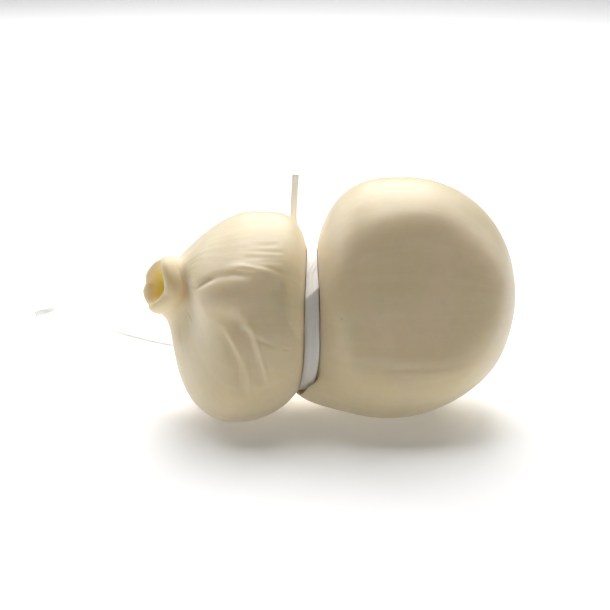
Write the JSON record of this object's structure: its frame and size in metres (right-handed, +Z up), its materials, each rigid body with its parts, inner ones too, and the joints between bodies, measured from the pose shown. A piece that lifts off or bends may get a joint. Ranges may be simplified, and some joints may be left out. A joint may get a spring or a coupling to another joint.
{
  "type": "scamorza cheese",
  "caption": "Whole smooth white stretched-curd cheese, pinched into a small and a large lobe by a ribbon tied round its waist, lying on its side with its gathered neck open.",
  "frame": {"origin": "on the table, under the middle of the box of the cheese and the ribbon round it, without the ribbon's free ends", "axes": "+X along the cheese from its open neck to the big lobe's round end, -Y towards the side that the picture shows, +Z up"},
  "size_m": [0.1795, 0.139, 0.0813],
  "materials": {
    "cheese_cream": "satin, moist and slightly translucent",
    "ribbon_white": "satin, ribbed along its length"
  },
  "bodies": {
    "root": {"cheese": "cheese_cream", "ribbon_band": "ribbon_white", "ribbon_knot": "ribbon_white", "ribbon_tail_short": "ribbon_white", "ribbon_tail_long": "ribbon_white"}
  },
  "joints": []
}
